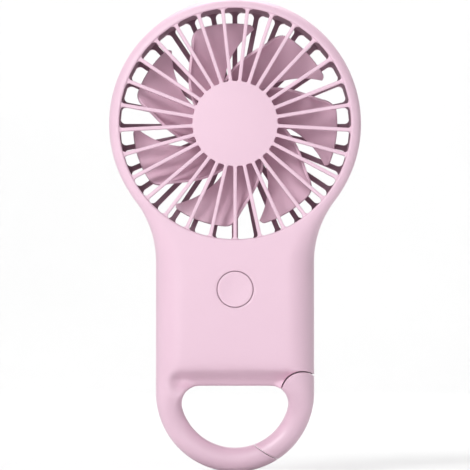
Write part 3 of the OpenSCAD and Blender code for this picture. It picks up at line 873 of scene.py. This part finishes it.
front_disc = turned(head, [(0, -rib_front), *rounded_ring(disc_r, -rib_front, disc_rounding),
                           (disc_r, disc_t - rib_front), (0, disc_t - rib_front)], round_sides)
front_grille = ribs(front_ribs, rib_plan(rib_w, disc_r, disc_flare, rim_flare),
                    rib_sink - rib_front, -rib_back, rib_rounding)
shell = shell_body([(button, button_r + button_gap)])

# Side openings for the charging socket and its light, both in front of the middle plane
socket_low, socket_high = [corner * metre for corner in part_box("charging_socket")]
lens_low, lens_high = [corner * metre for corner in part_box("light_lens")]
socket_room = 0.3
socket_y = (socket_low.y + socket_high.y) / 2
socket_z = (socket_low.z + socket_high.z) / 2
lens_y = (lens_low.y + lens_high.y) / 2
lens_z = (lens_low.z + lens_high.z) / 2
lens_r = 0.85
lens_gap = 0.03
past = 2.0                                      # cutting tools reach this far beyond a face
hole_floor = wall + 1.0 - half_w


def slot_plan(width, height, at=(0.0, 0.0)):
    """A slot with round ends, its height along z, seen along the depth."""
    r = width / 2
    reach = height / 2 - r
    return chain(arc((at[0], at[1] + reach), r, 0, math.pi, fine_step),
                 arc((at[0], at[1] - reach), r, math.pi, full_turn, fine_step))


def sideways(bm, y):
    """Turns a shape made about the front-to-back line at x = 0 to point out of the right side."""
    bmesh.ops.rotate(bm, verts=bm.verts, cent=(0, 0, 0),
                     matrix=Matrix.Rotation(quarter_turn, 3, "Z"))
    bmesh.ops.translate(bm, verts=bm.verts, vec=(0, y, 0))
    return bm


socket_hole = prism(slot_plan(2 * (socket_high.y - socket_y + socket_room),
                              2 * (socket_high.z - socket_z + socket_room), (0.0, socket_z)),
                    -half_w - past, hole_floor)
light_hole = prism(arc((0.0, lens_z), lens_r + lens_gap, 0, full_turn, fine_step)[:-1],
                   -half_w - past, hole_floor)
for tool, y in ((socket_hole, socket_y), (light_hole, lens_y)):
    shell = cut(shell, sideways(tool, y))

# Screw bosses, and this half of the tongue that carries the gate's pin
screw_low, screw_high = [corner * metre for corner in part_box("housing_screws")]
screw_head_r = 2.0
screw_x = screw_high.x - screw_head_r
screw_spots = [(side * screw_x, z) for side in (-1, 1)
               for z in (screw_low.z + screw_head_r, screw_high.z - screw_head_r)]
boss_r = 3.4
tongue_r = 2.9
stem_half = 2.03
stem_low = 2.1
stem_high = 9.2
stem_turn = 0.81                                # where the stem meets the tongue, in radians
hinge_step = 0.3
tongue_front = -3.0
seam_gap = 0.01                                 # of each half of tongue and lip from the middle
tongue_plan = [(limb_x + x, z) for x, z in chain(
    line((stem_half, stem_low), (stem_half, stem_high)),
    line((-stem_half, stem_high), (-stem_half, stem_low)),
    arc(middle, tongue_r, math.pi - stem_turn, full_turn + stem_turn, hinge_step))]
boss_top = 9.6
screw_r = 1.0
bosses = [turned(spot, [(screw_r, 0.0), (screw_r, -boss_top), (boss_r, -boss_top), (boss_r, 0.0)],
                 boss_sides) for spot in screw_spots]

# A lip in the shells' seat follows the round knuckle and closes the seam behind
lip_r = knuckle_r + 0.08
lip_root = knuckle_r + 1.0
lip_half = 2.6
lip_step = 0.4
lip_top_short = math.radians(1.5)
lip_low_short = math.radians(1.0)
lip_start = angle_to(pivot, knuckle_ends(lip_root)[0]) + lip_top_short
lip_end = angle_to(pivot, knuckle_ends(lip_root)[1]) - lip_low_short
lip_plan = (arc(pivot, lip_root, lip_start, lip_end, lip_step)
            + arc(pivot, lip_r, lip_end, lip_start, lip_step))
# The duct's wall and the backs of the front ribs and disc, which face into the duct, get the painted
# shade.
finish_piece(
    paint_duct_shade(joined([shell, front_disc, front_grille,
                      prism(tongue_plan, tongue_front, -seam_gap),
                      prism(lip_plan, -lip_half, -seam_gap), *bosses])),
    "front_shell", "root", [shell_pink, painted_duct_shade], ["front_shell"])

# ---- Rear shell ----
# The back half of the housing in the same pink plastic. Its grille has 32 broader ribs round the
# motor's hub, and four deep holes let the housing screws in from behind.
rear_ribs = 32
rear_rib_w = 1.7
rear_hub_r = 13.5
rear_hub_t = 3.4
rear_hub_rounding = 0.6
rear_hub_flare = 0.4
rear_rim_flare = 1.6
counterbore_r = 2.3
screw_seat = 8.0
bore_r = 1.2


def mirrored(bm):
    """Turns a front shape into a back one."""
    bmesh.ops.scale(bm, vec=(1, -1, 1), verts=bm.verts)
    bmesh.ops.reverse_faces(bm, faces=bm.faces)
    return bm


back_shell = mirrored(shell_body([]))
for spot in screw_spots:
    boss = prism(arc(spot, boss_r, 0, full_turn)[:-1], 0.0, boss_top)
    back_shell = cut(back_shell, boss, "UNION")
for spot in screw_spots:
    tool = turned(spot, [(0, half_t + past), (counterbore_r, half_t + past),
                         (counterbore_r, screw_seat), (bore_r, screw_seat), (bore_r, -past),
                         (0, -past)], bore_sides)
    back_shell = cut(back_shell, tool)
rear_hub = turned(head, [(0, -rib_front),
                         *rounded_ring(rear_hub_r, -rib_front, rear_hub_rounding),
                         (rear_hub_r, rear_hub_t - rib_front), (0, rear_hub_t - rib_front)],
                  round_sides)
rear_grille = ribs(rear_ribs, rib_plan(rear_rib_w, rear_hub_r, rear_hub_flare, rear_rim_flare),
                   rib_sink - rib_front, -rib_back, rib_rounding)
# The duct's wall and the fronts of the rear ribs and hub, which face into the duct, get the painted
# shade.
finish_piece(
    paint_duct_shade(joined([back_shell, mirrored(rear_hub), mirrored(rear_grille),
                      mirrored(prism(tongue_plan, tongue_front, -seam_gap)),
                      mirrored(prism(lip_plan, -lip_half, -seam_gap))])),
    "rear_shell", "root", [shell_pink, painted_duct_shade], ["rear_shell"])

# ---- Carrying-loop gate ----
# The right limb of the loop, a separate moulding that swings inwards on a pin through its round
# knuckle. A slot through the knuckle straddles the shells' tongue and the spring.
slot_front = -3.3
slot_back = 5.8
slot_r = 3.2
slot_half = 2.33
slot_sweep = math.radians(30)
slot_reach = 10.0
slot_peak = 11.0
pin_bore_r = 1.30
pin_bore_front = -7.2
gate_end = gate_reach - reach_gap


def gate_outline():
    """Outside of the gate seen from the front."""
    side, inner = knuckle_ends(knuckle_r)
    outer_end, inner_end = reach_ends(gate_end)
    corner_turn = angle_to(middle, corner)
    return chain(
        arc(middle, half_w, angle_to(middle, outer_end), 0), line((half_w, 0), side),
        arc(pivot, knuckle_r, angle_to(pivot, side), angle_to(pivot, inner)),
        arc(corner, corner_r, angle_to(corner, inner), corner_turn),
        arc(middle, opening_r, corner_turn, angle_to(middle, inner_end)),
        arc(pivot, gate_end, angle_to(pivot, inner_end), angle_to(pivot, outer_end)))


knuckle_top = knuckle_ends(knuckle_r)
knuckle_edge = 0.3
gate_spacing = 0.6


def gate_seam_depth(x, z):
    """Distance of a point of the gate from its two ends."""
    from_pivot = math.dist((x, z), pivot)
    above = knuckle_r - from_pivot
    if z < 0:
        above = min(math.dist((x, z), end) for end in knuckle_top)
    return min(above, gate_end - from_pivot)


def gate_clearance(x, z):
    """Distance of a point of the gate from its nearest border."""
    return min(outline_depth(x, z), opening_depth(x, z), gate_seam_depth(x, z))


def gate_surface(x, z):
    """How far the gate's outside stands from the middle plane, its ends softened."""
    height = rounded_surface(x, z, limb_thickness(z))
    return height - round_off(gate_seam_depth(x, z), knuckle_edge)


def gate_edge(x, z):
    """Rounding of the gate's edge at a border point."""
    if abs(outline_depth(x, z)) < touch:
        return outer_edge(z)
    if abs(opening_depth(x, z)) < touch:
        return opening_edge(z)
    return seam_edge


gate_halves = []
for half in range(2):
    bm = bmesh.new()
    face = sheet(bm, [gate_outline()], gate_surface, gate_clearance, gate_edge, gate_spacing)
    swept_wall(bm, face[0], [(0.0, 0.0)])
    gate_halves.append(bm)
bmesh.ops.scale(gate_halves[1], vec=(1, -1, 1), verts=gate_halves[1].verts)
gate_blank = closed(joined(gate_halves))
side_turn = math.acos(slot_half / slot_r)
slot_arc = arc(pivot, slot_r, math.pi - side_turn + slot_sweep, full_turn + side_turn,
               hinge_step)
swept = Vector((-slot_half, slot_reach))
swept.rotate(Matrix.Rotation(slot_sweep, 2))
slot_tool = prism([*slot_arc, (limb_x + slot_half, slot_reach), (limb_x, slot_peak),
                   (limb_x + swept.x, swept.y)], slot_front, slot_back)
bore_tool = turned(pivot, [(0, pin_bore_front), (pin_bore_r, pin_bore_front),
                           (pin_bore_r, half_t + past), (0, half_t + past)], bore_sides)
gate_blank = cut(cut(gate_blank, slot_tool), bore_tool)
gate_pink = moulded("satin_pink_gate", pink_low, pink_high, roughness=0.40)
finish_piece(gate_blank, "gate", "gate", [gate_pink], ["gate"])

# ---- Impeller ----
# Seven swept blades on a cup-shaped hub, one mauve-pink moulding pushed onto the rotor's yoke.
# Each blade's front edge trails and its back edge leads as the fan turns clockwise.
blades = 7
blade_low_pink = (0.79, 0.53, 0.65, 1)
blade_high_pink = (0.82, 0.56, 0.68, 1)
fan_r = 34.8
hub_r = 12.5
hub_front = -8.6
hub_back = 4.6
hub_wall = 1.2
hub_floor = 1.4
hub_rounding = 1.4
hub_round_steps = 8
blade_t = 0.96
blade_rounding = 0.3
blade_front = -7.0
blade_back = 3.6
blade_root = hub_r - 0.6
blade_tip = fan_r - 0.15
blade_columns = 34
blade_rows = 22
rim_turn = 1.0                                  # a fold sharper than this is a blade's rim
first_blade = math.radians(43.5)
tip_trail = 19.0
tip_lead = 19.5
root_trail = 44.0
root_lead = 29.0
trail_curve = 1.65
tip_round = 3.2
tip_round_share = 0.2
tip_round_curve = 2.2
lead_round = 1.2
lead_round_from = 0.94
camber = 1.1


def blade_point(across, up):
    """A point on the middle of a blade: across from its trailing to its leading edge, and up from
    the hub to the tip."""
    r = blade_root + (blade_tip - blade_root) * up
    from_tip = (fan_r - r) / (fan_r - hub_r)
    trailing = -tip_trail - root_trail * max(0.0, from_tip) ** trail_curve
    leading = tip_lead - root_lead * from_tip
    angle = math.radians(trailing + (leading - trailing) * across)
    if across < tip_round_share:
        r -= tip_round * up ** 2 * (1 - across / tip_round_share) ** tip_round_curve
    if across > lead_round_from:
        r -= lead_round * up ** 2 * ((across - lead_round_from) / (1 - lead_round_from)) ** 2
    y = blade_front + (blade_back - blade_front) * across + camber * math.sin(math.pi * across)
    return r * math.sin(angle), y, r * math.cos(angle)


def blade():
    """One blade, its edges rounded."""
    bm = bmesh.new()
    bmesh.ops.create_grid(bm, x_segments=blade_columns, y_segments=blade_rows, size=0.5)
    for vert in bm.verts:
        vert.co = blade_point(vert.co.x + 0.5, vert.co.y + 0.5)
    bmesh.ops.recalc_face_normals(bm, faces=bm.faces)
    bmesh.ops.solidify(bm, geom=bm.faces[:], thickness=blade_t)
    edges = [e for e in bm.edges if e.is_manifold and e.calc_face_angle() > rim_turn]
    bmesh.ops.bevel(bm, geom=edges, offset=blade_rounding, segments=3, profile=0.5, affect="EDGES",
                    material=-1, clamp_overlap=True)
    bmesh.ops.translate(bm, verts=bm.verts, vec=(0, 0, head_z))
    bmesh.ops.rotate(bm, verts=bm.verts, cent=(0, 0, head_z),
                     matrix=Matrix.Rotation(first_blade, 3, "Y"))
    return closed(bm)


all_blades = blade()
bmesh.ops.spin(all_blades, geom=all_blades.verts[:] + all_blades.edges[:] + all_blades.faces[:],
               cent=(0, 0, head_z), axis=(0, 1, 0), angle=full_turn * (blades - 1) / blades,
               steps=blades - 1, use_duplicate=True)
hub = turned(head, [(0, hub_front), *rounded_ring(hub_r, hub_front, hub_rounding, hub_round_steps),
                    (hub_r, hub_back), (hub_r - hub_wall, hub_back),
                    (hub_r - hub_wall, hub_front + hub_floor), (0, hub_front + hub_floor)],
             round_sides)
blade_pink = moulded("satin_mauve_blades", blade_low_pink, blade_high_pink, roughness=0.42)
finish_piece(joined([all_blades, hub]), "impeller", "rotor", [blade_pink],
             ["impeller"])

# ---- Button ----
# A round cap in the shells' pink. It sits level with the handle and dips a little for the
# fingertip. A flange under it keeps it in, and its stem works the switch.
dip = 0.25
dip_share = 0.86
dip_steps = 8
flange_front = -10.7
flange_back = -9.7
flange_r = 7.2
stem_r = 2.0
stem_back = cap_high.y
cap_rounding = 0.25
dished = [(button_r * dip_share * i / dip_steps, dip - half_t - dip * (i / dip_steps) ** 2)
          for i in range(dip_steps + 1)]
cap_profile = [*dished, *rounded_ring(button_r, -half_t, cap_rounding), (button_r, flange_front),
               (flange_r, flange_front), (flange_r, flange_back), (stem_r, flange_back),
               (stem_r, stem_back), (0, stem_back)]
button_pink = moulded("satin_pink_button", pink_low, pink_high, roughness=0.38)
finish_piece(turned(button, cap_profile, round_sides), "button_cap", "button", [button_pink],
             ["button_cap"])

# ---- Housing screws ----
# Four zinc-plated screws that hold the two shells together. They go in from behind, down the deep
# holes of the rear shell, and bite in the front shell's bosses.
def finish_node(name, material):
    """Gives a CAD node its material."""
    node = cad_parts[name]
    if not node.data.materials:
        node.data.materials.append(material)
    for number in range(len(node.material_slots)):
        node.material_slots[number].material = material


mark_depth = 0.00003
tarnish = 0.86                                  # how much darker tarnished metal is
uneven = 0.08                                   # marks change the roughness by this, up and down


def metal(name, colour, roughness):
    """Plain machined or drawn metal with fine tool marks and a little tarnish."""
    material, tree, shader, place = new_material(name)
    marks = place.node("ShaderNodeTexNoise", {},
                       {"Vector": place, "Scale": 900.0, "Detail": 4.0, "Roughness": 0.6})
    dark = tuple(c * tarnish for c in colour[:3]) + (1,)
    feed(shader, "Base Color", mix_colour(marks, dark, colour))
    feed(shader, "Metallic", 1.0)
    feed(shader, "Roughness", roughness - uneven + 2 * uneven * marks)
    feed(shader, "Normal", marks.node("ShaderNodeBump", {}, {
        "Height": marks, "Strength": 0.25, "Distance": mark_depth}))
    return material


finish_node("housing_screws", metal("zinc_screw", (0.62, 0.62, 0.64, 1), 0.34))

# ---- Rotor ----
# The turning half of the motor: a drawn steel cup with a ring magnet glued inside it, pressed on
# a ground steel shaft. A black clip behind the rear bearing keeps the shaft in.
grip_depth = 0.00004


def plain(name, colour, roughness, change=0.9):
    """A dull solid finish with a fine grain."""
    material, tree, shader, place = new_material(name)
    grain = place.node("ShaderNodeTexNoise", {},
                       {"Vector": place, "Scale": 700.0, "Detail": 4.0, "Roughness": 0.6})
    dark = tuple(c * change for c in colour[:3]) + (1,)
    feed(shader, "Base Color", mix_colour(grain, dark, colour))
    feed(shader, "Roughness", roughness - uneven + 2 * uneven * grain)
    feed(shader, "Normal", grain.node("ShaderNodeBump", {}, {
        "Height": grain, "Strength": 0.3, "Distance": grip_depth}))
    return material


finish_node("rotor_yoke", metal("drawn_yoke_steel", (0.50, 0.50, 0.52, 1), 0.38))
finish_node("rotor_magnet", plain("sintered_magnet", (0.06, 0.06, 0.065, 1), 0.6))
finish_node("motor_shaft", metal("ground_shaft_steel", (0.68, 0.68, 0.70, 1), 0.18))
finish_node("shaft_clip", plain("black_clip", (0.04, 0.04, 0.042, 1), 0.45))

# ---- Stator ----
# The fixed half of the motor: a turned aluminium base with two bronze bearings, the laminated core
# with its copper windings, and the motor's board. Screws hold it to the rear hub.
finish_node("motor_base", metal("turned_aluminium", (0.72, 0.73, 0.75, 1), 0.36))
finish_node("front_bearing", metal("bronze_bearing", (0.58, 0.40, 0.18, 1), 0.42))
finish_node("rear_bearing", metal("bronze_rear_bearing", (0.58, 0.40, 0.18, 1), 0.42))
finish_node("stator_core", metal("lamination_steel", (0.36, 0.37, 0.40, 1), 0.5))
finish_node("stator_windings", metal("enamelled_copper", (0.72, 0.30, 0.12, 1), 0.32))
finish_node("motor_board", plain("green_motor_board", (0.03, 0.16, 0.08, 1), 0.4))
finish_node("motor_screws", metal("zinc_motor_screw", (0.60, 0.60, 0.62, 1), 0.34))
finish_node("motor_leads", plain("pink_sleeve", (0.66, 0.42, 0.53, 1), 0.45))

# ---- Switch and main board ----
# The button's stem presses a small black push switch on the green main board. The board carries
# the control chip and the leads' cream connectors, and screws hold it in the front shell.
finish_node("switch_plunger", plain("black_plunger", (0.03, 0.03, 0.032, 1), 0.4))
finish_node("switch_body", plain("black_switch_body", (0.05, 0.05, 0.052, 1), 0.42))
finish_node("main_board", plain("green_main_board", (0.03, 0.18, 0.09, 1), 0.4))
finish_node("board_screws", metal("zinc_board_screw", (0.62, 0.62, 0.64, 1), 0.34))
finish_node("control_chip", plain("black_chip_resin", (0.025, 0.025, 0.027, 1), 0.5))
finish_node("lead_connectors", plain("cream_connector", (0.80, 0.76, 0.64, 1), 0.42))

# ---- Charging socket ----
# A stamped and folded steel shell, open towards the right side, with a black contact tongue. It is
# soldered to the main board's edge and stands behind the slot in the front shell.
socket_steel = metal("socket_steel", (0.60, 0.60, 0.62, 1), 0.28)
socket_black = plain("black_socket_tongue", (0.03, 0.03, 0.032, 1), 0.4)
socket_outline = [(-1.0, 0.827), (-0.73, 0.947), (-0.15, 1.0), (0.23, 1.0), (1.0, 0.693)]
socket_wall = 0.3
socket_floor = 1.0
socket_rounding = 0.12
tongue_inset = 0.6
tongue_sink = 0.1
tongue_rounding = 0.1
tongue_half_t = 0.32
tongue_half_w = 2.2


def socket_plan(inset):
    """The socket's mouth with its two slanted corners, seen straight on."""
    half_y = (socket_high.y - socket_low.y) / 2 - inset
    half_z = (socket_high.z - socket_low.z) / 2 - inset
    side = [(y * half_y, z * half_z) for y, z in socket_outline]
    return [(y, socket_z - z) for y, z in side] + [(y, socket_z + z) for y, z in side[::-1]]


socket_shell = cut(prism(socket_plan(0.0), -socket_high.x, -socket_low.x, socket_rounding),
                   prism(socket_plan(socket_wall), -socket_high.x - past,
                         -socket_low.x - socket_floor))
tongue_low, tongue_high = socket_z - tongue_half_w, socket_z + tongue_half_w
contact_tongue = prism([(-tongue_half_t, tongue_low), (tongue_half_t, tongue_low),
                        (tongue_half_t, tongue_high), (-tongue_half_t, tongue_high)],
                       tongue_inset - socket_high.x,
                       tongue_sink - socket_low.x - socket_floor, tongue_rounding)
for face in contact_tongue.faces:
    face.material_index = 1
finish_piece(
    sideways(joined([socket_shell, contact_tongue]), socket_y),
    "charging_socket", "root", [socket_steel, socket_black], ["charging_socket"])

# ---- Charging light ----
# A small light chip on the main board, and the round milky lens that brings its light through the
# right side of the front shell, just below the socket.
finish_node("charging_light", plain("light_chip", (0.85, 0.80, 0.55, 1), 0.35))
finish_node("light_lens", plain("milky_lens", (0.80, 0.80, 0.82, 1), 0.2, change=0.97))

# ---- Battery ----
# A flat pouch cell in dull foil behind the main board. A black foam pad holds it against the rear
# shell, and its two black leads run to the board.
finish_node("battery", plain("battery_foil", (0.42, 0.46, 0.52, 1), 0.34))
finish_node("battery_pad", plain("black_foam_pad", (0.05, 0.05, 0.055, 1), 0.9, change=0.6))
finish_node("battery_leads", plain("black_sleeve", (0.03, 0.03, 0.032, 1), 0.45))

# ---- Gate pin and spring ----
# The ground steel pin that the gate turns on, held by the shells' tongue, and the wire spring in
# the knuckle's slot that swings the gate shut.
finish_node("gate_pin", metal("ground_pin_steel", (0.66, 0.66, 0.68, 1), 0.2))
finish_node("gate_spring", metal("spring_steel", (0.48, 0.48, 0.50, 1), 0.3))
